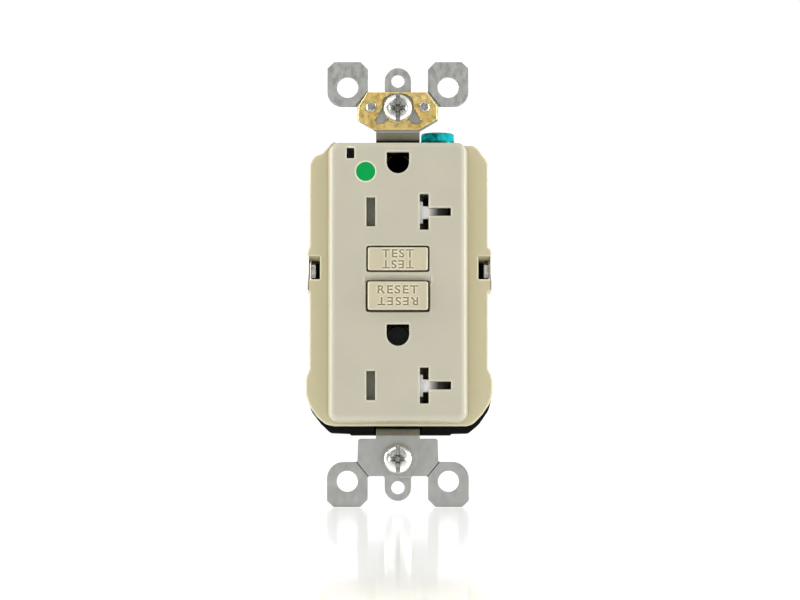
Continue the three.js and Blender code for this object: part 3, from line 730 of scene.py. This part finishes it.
# ---- Mounting strap ----
JOGGLE = rounded([
    (-STRAP_T, 37.6), (0.0, 37.6), (0.0, 37.2, 1.2), (1.8, 34.9, 0.8), (NECK_Y + STRAP_T, 33.9, 0.6),
    (NECK_Y + STRAP_T, 33.0), (NECK_Y, 33.0), (NECK_Y, 33.3, 0.5), (0.4, 34.5, 0.6), (-STRAP_T, 36.9, 1.2),
], 5)
GROOVE = [(-STRAP_T - 0.1, -0.22), (-STRAP_T - 0.1, 0.22), (-STRAP_T + 0.25, 0.0)]
END_HOLES = [
    (0, LOBE_Z, 1.55),
    (0, DEVICE_SCREW_Z, 2.2),
    (-EAR_HOLE_X, EAR_HOLE_Z, 2.5),
    (EAR_HOLE_X, EAR_HOLE_Z, 2.5),
]


def strap_end(right, groove_ends):
    """One end, drawn at the top. The right half's corners run from the neck up to the lobe."""
    lobe = arc(0, LOBE_Z, 3.15, 0, math.pi)
    outline = rounded([(NECK_HALF_W, 36.0), *right, *lobe, *mirrored(right), (-NECK_HALF_W, 36.0)], 8)
    end = slab("end", outline, -STRAP_T, 0.0, 0.07, 0.05, steps=2)
    join(end, slab("tool", JOGGLE, -NECK_HALF_W, NECK_HALF_W, axis="x"))
    (ax, az), (bx, bz) = groove_ends
    for side in (-1, 1):
        groove = slab("tool", GROOVE, 0, math.hypot(bx - ax, bz - az), axis="x")
        turned(groove, -math.degrees(math.atan2(bz - az, bx - ax)), "Y")
        moved(groove, ax, 0, az)
        cut(end, on_side(groove, side))
    for x, z, r in END_HOLES:
        profile = [(r + 0.05, -STRAP_T - 0.5), (r + 0.05, -STRAP_T - 0.001), (r, -STRAP_T + 0.05), (r, 1.0)]
        cut(end, lathe("tool", profile, 48, at=(x, z)))
    return end


top_right = [
    (NECK_HALF_W, 36.4), (9.6, 39.0, 0.5), (9.6, 42.35), (16.8, 42.35, 3.3), (16.8, 51.5, 0.3),
    (15.2, 53.0, 0.3), (8.9, 53.0, 0.3), (7.15, 51.2, 0.3), (7.15, 45.6, 0.4), (3.15, 45.6, 0.3),
]
bottom_right = [
    (NECK_HALF_W, 36.8, 0.25), (9.45, 36.8, 0.7), (9.6, 42.3, 0.4), (16.8, 42.3, 3.9), (16.8, 51.5, 0.4),
    (15.2, 53.0, 0.4), (8.9, 53.0, 0.6), (7.15, 51.2, 0.6), (7.15, 45.7, 0.5), (3.15, 45.7, 0.55),
]
strap = strap_end(top_right, groove_ends=((7.2, 45.9), (10.2, 42.2)))
join(
    strap,
    turned(strap_end(bottom_right, groove_ends=((6.9, 45.9), (9.9, 42.2))), 180, "Y"),
    box(-4.9, 4.9, NECK_Y, NECK_Y + STRAP_T, -33.5, 33.5),
    box(4.5, 12.8, NECK_Y, NECK_Y + STRAP_T, 24.5, 33.2),
    box(5.8, 12.8, NECK_Y, 9.6, 31.9, 33.2),
)
for outlet in OUTLETS:
    cut(strap, lathe("tool", [(3.7, 0.5), (3.7, 4)], at=(0, outlet.ground_z)))
for z in (RESET_Z, TEST_Z):
    cut(strap, lathe("tool", [(1.6, 0.5), (1.6, 4)], 24, at=(0, z)))
cut(strap, lathe("tool", [(2.1, 30), (2.1, 34)], 24, "z", GROUND_SCREW))
piece(smooth(strap, angle=28), "strap", "base", "zinc", "zinc", "mounting_strap")

# ---- Brass ground clip ----
clip = slab("clip", rounded([
    (-7.3, 45.7, 0.3), (-9.35, 42.3, 0.4), (-9.45, 39.0, 0.4), (-5.8, 36.7, 0.5), (4.9, 36.7, 0.5),
    (9.35, 39.2, 0.4), (9.35, 42.3, 0.4), (6.9, 45.7, 0.3),
]), -2.0, -STRAP_T - 0.05, 0.14, steps=3)
hollow_right = [
    (1.6, 45.2, 0.8), (3.6, 44.4, 1.6), (3.6, 42.0, 1.2), (5.6, 39.0, 0.6), (4.9, 38.1, 0.5),
    (3.4, 38.1, 0.4), (2.6, 39.0, 0.4),
]
hollow = rounded([*hollow_right, *mirrored(hollow_right)], 8)
mouth = inset(hollow, -0.12)
cut(clip, loft("tool", [(mouth, -3), (mouth, -2.001), (hollow, -1.88), (hollow, 0)]))
for _, sx in SIDES:
    cut(clip, lathe("tool", [(1.0, -3), (1.0, 0)], 24, at=(sx * RIVET_X, RIVET_Z)))
piece(smooth(clip, angle=12), "clip_plate", "base", "brass", "brass", "ground_clip")
RIVET = [(0.7, -2.5), (1.05, -2.46), (1.2, -2.3), (1.22, -2.05), (0.9, -2.05), (0.9, -1.35)]
for side, sx in SIDES:
    rivet = lathe("rivet", RIVET, 32)
    for degrees in (20, 80, 140):
        bar = slab("tool", rect(-0.95, 0.95, -0.13, 0.13, 0.05, 2), -2.7, -2.3)
        cut(rivet, turned(bar, degrees, "Y"))
    cut(rivet, lathe("tool", [(0.5, -3), (0.35, -2.2)], 16))
    moved(rivet, sx * RIVET_X, 0, RIVET_Z)
    piece(smooth(rivet), f"rivet_{side}", "base", "bright", "bright", f"clip_rivet_{side}")


# ---- Screws ----
def threaded(name, major, minor, start, end, sides=24):
    """A threaded shank about the Y axis, from start to end, fading in and out at its ends."""
    per_turn = 8
    count = int((end - start) / THREAD_PITCH * per_turn)
    rings = []
    for i in range(count + 1):
        level = start + (end - start) * i / count
        ring = []
        for j in range(sides):
            phase = (i / per_turn - j / sides) % 1.0
            height = max(0.0, 1 - abs(phase - 0.5) / 0.42)
            fade = min(1.0, i / 6, (count - i) / 10)
            r = minor + (major - minor) * height * fade
            a = 2 * math.pi * j / sides
            ring.append((r * math.cos(a), r * math.sin(a)))
        rings.append((ring, level))
    return loft(name, rings)


def recess(head, top, slot_half, wing, depth):
    """The combination slot and cross in a screw head whose top is at that level, about the Y axis."""
    def bar(a, b, a2, b2, low):
        first = [(-a, -b), (a, -b), (a, b), (-a, b)]
        last = [(-a2, -b2), (a2, -b2), (a2, b2), (-a2, b2)]
        return loft("tool", [(first, top - 1), (first, top), (last, top + low)])
    cut(
        head,
        bar(0.5, slot_half, 0.42, slot_half, depth * 0.55),
        bar(wing, 0.55, 0.6, 0.3, depth),
        bar(0.6, wing * 0.75, 0.35, 0.6, depth),
        turned(bar(wing * 0.68, 0.3, 0.5, 0.2, depth * 0.7), 45, "Y"),
        turned(bar(wing * 0.68, 0.3, 0.5, 0.2, depth * 0.7), -45, "Y"),
        lathe("tool", [(1.1, top - 1), (1.05, top), (0.4, top + depth * 1.1)], 8),
    )


DEVICE_HEAD = [
    (1.6, -4.6), (2.35, -4.56), (2.8, -4.44), (3.12, -4.2), (3.32, -3.85), (3.4, -3.4), (3.4, -2.45),
    (3.3, -2.3), (1.5, -2.3),
]
for level, z in (("top", DEVICE_SCREW_Z), ("bottom", -DEVICE_SCREW_Z)):
    screw = lathe("screw", DEVICE_HEAD, 56)
    recess(screw, top=-4.6, slot_half=3.6, wing=2.15, depth=1.6)
    join(screw, threaded("tool", major=1.74, minor=1.42, start=-2.5, end=22.0))
    moved(screw, 0, 0, z)
    node = f"{level}_screw"
    piece(smooth(screw, angle=40), f"device_screw_{level}", node, "bright", "bright", node)
    washer = lathe("washer", [(3.15, -2.2), (3.3, -2.1), (3.3, -1.5), (3.2, -1.4)], 48)
    cut(washer, lathe("tool", [(2.05, -3), (2.05, 0)], 32))
    moved(washer, 0, 0, z)
    piece(smooth(washer), f"washer_{level}", "base", "bright", "bright", f"{level}_screw_washer")

for corner, (x, z) in CORNERS.items():
    screw = lathe("screw", [(1.4, 3), (1.4, 27.0), (2.5, 27.0), (2.6, 27.2), (2.6, 27.9), (2.3, 28.2)], 32)
    cut(screw, box(-0.4, 0.4, 27.6, 29, -1.8, 1.8), box(-1.8, 1.8, 27.6, 29, -0.4, 0.4))
    moved(screw, x, 0, z)
    piece(smooth(screw), f"case_screw_{corner}", "base", "bright", "bright", f"housing_screw_{corner}")

TERMINAL_HEAD = [
    (2.4, -20.3), (3.1, -20.24), (3.55, -19.9), (3.7, -19.4), (3.7, -18.1), (3.6, -17.8), (1.5, -17.8),
]
for kind, sx, finish in (("hot", -1, "brass"), ("neutral", 1, "bright")):
    for level, sz in LEVELS:
        node = f"{level}_{kind}_screw"
        screw = lathe("screw", TERMINAL_HEAD, 48)
        recess(screw, top=-20.3, slot_half=3.9, wing=1.8, depth=1.2)
        join(screw, threaded("tool", major=1.75, minor=1.45, start=-18.0, end=-13.3))
        turned(screw, sx * 90, "Z")
        moved(screw, 0, TERMINAL_Y, sz * TERMINAL_Z)
        piece(smooth(screw, angle=40), f"terminal_screw_{level}_{kind}", node, finish, finish, node)

# ---- Green ground screw and its cup ----
x, y = GROUND_SCREW
hexagon = circle(x, y, 4.55, 6, math.pi / 2)
green = loft("green", [(hexagon, 34.3), (hexagon, 36.6)], "z")
dome = [(4.5, 34.2), (4.7, 34.5), (4.7, 35.7), (4.1, 36.2), (3.5, 36.5), (2.0, 36.6)]
combine(green, [lathe("tool", dome, 64, "z", GROUND_SCREW)], "INTERSECT")
shank = threaded("tool", major=1.8, minor=1.5, start=-34.2, end=-27.8)
join(
    green,
    lathe("tool", [(3.7, 34.0), (3.92, 34.05), (3.92, 34.3), (3.7, 34.42)], 48, "z", GROUND_SCREW),
    moved(turned(shank, -90, "X"), x, y),
)
cut(green, box(x - 5, x + 5, y - 0.5, y + 0.5, 35.4, 38))
piece(smooth(green, 0.05, angle=35), "ground_hex", "ground_screw", "teal", "teal", "ground_screw")
cup = slab("cup", rect(x - 3.9, x + 3.9, y - 3.8, y + 3.8, 0.6), 33.35, 33.85, 0.12, 0.12, axis="z")
cut(cup, lathe("tool", [(2.1, 32), (2.1, 35)], 32, "z", GROUND_SCREW))
piece(smooth(cup), "ground_cup", "ground_washer", "teal", "teal", "ground_washer")

# ---- Back housing: its front rim follows the flange, and the box behind it is plainer ----
UPPER_LEFT = [(-14.6, 33.0), (-15.4, 32.8, 0.4), (-18.2, 30.4, 0.4), (-19.5, 29.9, 0.5)]
UPPER_RIGHT = [(18.5, 31.6, 0.5), (17.4, 32.2, 0.4), (15.2, 32.2), (14.6, 33.0)]
HOUSING_RIM = rounded([
    *UPPER_LEFT, (-20.3, 29.0, 0.5), (-20.6, 27.5, 0.5),
    (-20.6, -20.6, 0.6), (-21.5, -22.4, 0.8), (-21.5, -26.8, 4.0), (-20.6, -30.3, 5.0), (-18.3, -33.3, 5.0),
    (-16.1, -35.4, 1.5), (-11.5, -35.6), (-11.2, -35.95, 0.1), (12.5, -35.95, 0.1), (12.8, -35.6),
    (16.8, -35.5, 1.5), (19.2, -33.5, 5.0), (21.6, -30.0, 5.0), (22.3, -26.8, 4.0), (22.3, -22.4, 0.8),
    (20.6, -20.6, 0.6), (20.6, 27.5, 0.5), (20.3, 29.0, 0.5), *UPPER_RIGHT,
], 5)
HOUSING_BOX = rounded([
    *UPPER_LEFT, (-20.4, 28.8, 0.5), (-20.6, 27.5, 0.5), (-20.6, -29.6, 1.5), (-18.0, -33.0, 1.5),
    (18.0, -33.0, 1.5), (20.6, -29.6, 1.5), (20.6, 27.5, 0.5), (20.4, 28.8, 0.5), *UPPER_RIGHT,
], 5)


def sunk(r, start, depth, mouth_r):
    """The profile of a hole that opens at the housing's back with a chamfer of that depth."""
    return [(r, start), (r, HOUSING_BACK_Y - depth), (mouth_r, HOUSING_BACK_Y + 0.01), (mouth_r, 30)]


housing = slab("housing", HOUSING_RIM, 0.4, 9.0, 0.15, 0.5)
join(housing, slab("tool", HOUSING_BOX, 2.0, HOUSING_BACK_Y, 0.0, 0.9, steps=5))
cut(housing, slab("tool", rect(-18.2, 18.2, -31.2, 31.9, 4.0), 0.0, 26.0))
for _, sx in SIDES:
    join(housing, on_side(box(16.7, 19.4, 0.4, 10, -3.6, 10.4), sx))
    cut(housing, on_side(box(17.8, 24, 0, 7.7, -2.3, 9.4), sx))
    for _, sz in LEVELS:
        z = sz * TERMINAL_Z
        bay = slab("tool", rect(5, 15, z - 4.6, z + 4.6, 0.5), 17.5, 24, axis="x")
        margin = slab("tool", rect(4.2, 15.8, z - 5.4, z + 5.4, 1.0), 20.2, 24, axis="x")
        cut(housing, on_side(bay, sx), on_side(margin, sx))
        for step in (-2.6, 2.6):
            cut(housing, lathe("tool", sunk(1.25, 22, 0.5, 1.8), 24, at=(sx * 16.2, z + step)))
for at in CORNERS.values():
    join(housing, lathe("tool", [(2.9, 12.3), (2.9, HOUSING_BACK_Y - 0.5)], 24, at=at))
    cut(
        housing,
        lathe("tool", [(1.75, 10), (1.75, 30)], 24, at=at),
        lathe("tool", sunk(2.9, 26.8, 0.3, 3.2), 32, at=at),
    )
cut(
    housing,
    box(-5.7, 5.7, -2, 3.0, -40, -30),
    box(-5.7, 5.7, -2, 3.0, 30, 40),
    box(5, 14.4, 0, 10.2, 30.9, 40),
)
for k in range(-3, 4):
    x = k * 2.6
    cut(housing, slab("tool", rect(x - 0.5, x + 0.5, -24, 24, 0.45, 4), HOUSING_BACK_Y - 0.4, 30))
piece(smooth(housing, angle=30), "case", "base", "black", "black", "back_housing")

TAB = rounded([(-1.1, 1.3, 0.2), (7.0, 1.3), (7.0, 5.2), (0.3, 5.2, 0.6), (-1.1, 4.4, 0.3)])
for latch in LATCHES:
    tab = on_side(slab("tab", TAB, *latch.tab, 0.2, 0.2, axis="x"), latch.sx)
    piece(smooth(tab), f"latch_{latch.side}", "base", "bright", "bright", f"side_tab_{latch.side}")

# ---- Shutters ----
WEDGE = [(6.5, SHUTTER_Y), (6.5, SHUTTER_BACK_Y), (11.9, SHUTTER_BACK_Y), (11.9, -4.25), (7.2, SHUTTER_Y)]
for outlet in OUTLETS:
    z = outlet.blade_z
    node = f"{outlet.level}_shutter"
    slider = box(-5.0, 7.0, SHUTTER_Y, SHUTTER_BACK_Y, z - 1.5, z + 1.5)
    join(
        slider,
        loft("tool", [(WEDGE, z - 1.45), (WEDGE, z + 1.45)], "z"),
        box(-9.9, -4.6, -4.9, SHUTTER_BACK_Y, z - 4.3, z + 4.3),
        box(4.5, 5.9, SHUTTER_Y, SHUTTER_BACK_Y, z - 2.6, z + 2.6),
        box(4.5, 5.9, -4.6, SHUTTER_BACK_Y, z - 4.6, z + 4.6),
        box(-0.6, 0.6, SHUTTER_Y, SHUTTER_BACK_Y, z - 6, z - 1.4),
    )
    piece(smooth(slider, 0.15), f"shutter_slide_{outlet.level}", node, "shutter", "shutter", node)
    # Painted shade: a grey pad on the shutter's hot side, on the shutter's material slot
    shade_pad = slab("shade_pad", rect(-9.8, -5.2, z - 4.2, z + 4.2, 0.3), -5.35, -4.92, 0.12)
    piece(smooth(shade_pad), f"shutter_pad_{outlet.level}", node, "shade_pad", "shutter")

# ---- Black guides behind the ground holes ----
for outlet in OUTLETS:
    guide = slab("guide", circle(0, outlet.ground_z, 3.7, 48), -5.8, 1.1, 0.1)
    passage = inset(ground_hole(outlet.ground_z), 0.08)
    cut(guide, loft("tool", [(passage, -7), (passage, 2)]))
    piece(smooth(guide), f"ground_guide_{outlet.level}", "base", "black", "black")


# ---- Springs and the test blade, drawn in place and attached to no body ----
def spring(node, radii, wire, turns, place, length, axis, moving, fixed_first=True):
    """A coil of round wire that runs from place along the axis, between its first and last radius.
    It is drawn in place and attached to no body."""
    around, sides = 24, 8
    steps = turns * around
    verts = []
    for i in range(steps + 1):
        a = 2 * math.pi * i / around
        level = wire + (length - 2 * wire) * i / steps
        middle = radii[0] + (radii[1] - radii[0]) * i / steps
        for j in range(sides):
            b = 2 * math.pi * j / sides
            r = middle + wire * math.cos(b)
            point = AXES[axis](r * math.cos(a), r * math.sin(a), level + wire * math.sin(b))
            verts.append(tuple(c + d for c, d in zip(point, place)))
    faces = [tuple(range(sides)), tuple(steps * sides + j for j in reversed(range(sides)))]
    for i in range(steps):
        for j in range(sides):
            k = (j + 1) % sides
            faces.append((i * sides + k, i * sides + j, (i + 1) * sides + j, (i + 1) * sides + k))
    start = list(place)
    end = list(place)
    end["xyz".index(axis)] += length
    if not fixed_first:
        start, end = end, start
    coil = make("spring", verts, faces)
    piece(smooth(coil), f"{node}_coil", "base", "bright", "bright", node, gives=(moving, start, end))


spring(
    "reset_spring", radii=(2.5, 2.5), wire=0.25, turns=5,
    place=(0, -4.1, RESET_Z), length=5.2, axis="y", moving="reset", fixed_first=False,
)
spring(
    "plunger_spring", radii=(2.2, 1.85), wire=0.14, turns=2,
    place=(0, PLUNGER_Y, -11.4), length=1.6, axis="z", moving="plunger",
)
for outlet in OUTLETS:
    node = f"{outlet.level}_shutter"
    spring(
        f"{node}_spring", radii=(0.6, 0.6), wire=0.12, turns=6,
        place=(-7.6, -4.8, outlet.blade_z - 5.35), length=6.7, axis="x", moving=node,
    )
BLADE_HALF_W = 2.6
BLADE_Y = 4.0
strip = rect(-BLADE_HALF_W, BLADE_HALF_W, BLADE_Y, BLADE_Y + 0.4)
blade = loft("blade", [(strip, 4 + 7.5 * k / 10) for k in range(11)], "z")
join(blade, box(-BLADE_HALF_W, BLADE_HALF_W, BLADE_Y, 9.9, 11.1, 11.5))
blade_gives = ("test_button", (0, 4.2, 11.1), (0, 4.2, 2.3))
piece(smooth(blade), "test_blade_leaf", "base", "brass", "brass", "test_blade", gives=blade_gives)

# ---- CAD nodes that stay, with their own finishes, painted shade on the brass contacts, and slightly rounded rims ----
WELD = 0.002 * MM
NODE_RIM = 0.12 * MM
SLOTS = {s["node"]: s["material_slot"] for s in frame["record"]["subparts"]}
for name, node in frame["nodes"].items():
    if node.hide_render:
        continue
    # The brass contacts take the darker contact brass, which paints shade on them
    paint(node, "contact" if "contact" in name and SLOTS[name] == "brass" else SLOTS[name])
    weld = node.modifiers.new("weld", "WELD")
    weld.merge_threshold = WELD
    rim = node.modifiers.new("rim", "BEVEL")
    rim.width = NODE_RIM
    rim.segments = 2
    rim.limit_method = "ANGLE"
    rim.angle_limit = math.radians(40)
    node.data.polygons.foreach_set("use_smooth", [True] * len(node.data.polygons))
    node.modifiers.new("normals", "WEIGHTED_NORMAL")

# ---- Studio: a glossy pale floor and a white backdrop ----
low = cad_box[0].z - 0.1 * MM
floor_mesh = bpy.data.meshes.new("floor")
floor_mesh.from_pydata([(-3, -3, low), (3, -3, low), (3, 3, low), (-3, 3, low)], [], [(0, 1, 2, 3)])
floor = bpy.data.objects.new("floor", floor_mesh)
bpy.context.scene.collection.objects.link(floor)
floor_look = Nodes("floor_gloss", (0.93, 0.93, 0.93), 0.05)
floor_look.shader.inputs["Emission Color"].default_value = (1, 1, 1, 1)
floor_look.shader.inputs["Emission Strength"].default_value = 0.38
floor.data.materials.append(floor_look.mat)


def backdrop():
    """White where the camera looks straight at it. As a light it is greyer in front and behind."""
    world = bpy.data.worlds.new("studio")
    bpy.context.scene.world = world
    world.use_nodes = True
    nodes = world.node_tree.nodes
    link = world.node_tree.links.new
    direction = nodes.new("ShaderNodeTexCoord")
    axes = nodes.new("ShaderNodeSeparateXYZ")
    link(direction.outputs["Generated"], axes.inputs["Vector"])
    depth = nodes.new("ShaderNodeMapRange")
    depth.inputs["From Min"].default_value = -1
    link(axes.outputs["Y"], depth.inputs["Value"])
    glow = nodes.new("ShaderNodeValToRGB")
    for position, level in ((0.04, 0.26), (0.28, 1.0), (0.52, 1.0), (0.7, 0.72)):
        stop = glow.color_ramp.elements.new(position)
        stop.color = (level, level, level, 1)
    glow.color_ramp.elements.remove(glow.color_ramp.elements[0])
    glow.color_ramp.elements.remove(glow.color_ramp.elements[-1])
    link(depth.outputs["Result"], glow.inputs["Fac"])
    light = nodes["Background"]
    link(glow.outputs["Color"], light.inputs["Color"])
    light.inputs["Strength"].default_value = 1.02
    seen = nodes.new("ShaderNodeBackground")
    seen.inputs["Color"].default_value = (1, 1, 1, 1)
    seen.inputs["Strength"].default_value = 1.1
    path = nodes.new("ShaderNodeLightPath")
    mix = nodes.new("ShaderNodeMixShader")
    link(path.outputs["Is Camera Ray"], mix.inputs["Fac"])
    link(light.outputs["Background"], mix.inputs[1])
    link(seen.outputs["Background"], mix.inputs[2])
    link(mix.outputs["Shader"], nodes["World Output"].inputs["Surface"])


def aim(obj, place, target):
    bpy.context.scene.collection.objects.link(obj)
    obj.location = place
    obj.rotation_euler = (Vector(target) - Vector(place)).to_track_quat("-Z", "Y").to_euler()


def lamp(name, place, target, size, watts):
    data = bpy.data.lights.new(name, "AREA")
    data.shape = "RECTANGLE"
    data.size, data.size_y = size
    data.energy = watts
    aim(bpy.data.objects.new(name, data), place, target)


backdrop()
lamp("key", place=(-0.35, -0.8, 0.6), target=(0, 0, 0), size=(0.4, 0.4), watts=1.9)
lamp("fill", place=(0.5, -0.8, 0.2), target=(0, 0, 0), size=(0.3, 0.5), watts=1.0)
for side, sx in SIDES:
    lamp(f"{side}_strip", place=(sx * 0.45, -0.03, 0.1), target=(0, -0.008, 0), size=(0.12, 0.5), watts=2.0)

camera_data = bpy.data.cameras.new("camera")
camera_data.sensor_width = 36
camera_data.lens = 151.5
camera_data.clip_start = 0.01
camera = bpy.data.objects.new("camera", camera_data)
aim(camera, place=(0.0, -0.8, -0.05), target=(0.0005, 0.0, -0.0038))
bpy.context.scene.camera = camera
bpy.context.scene.view_settings.view_transform = "Standard"
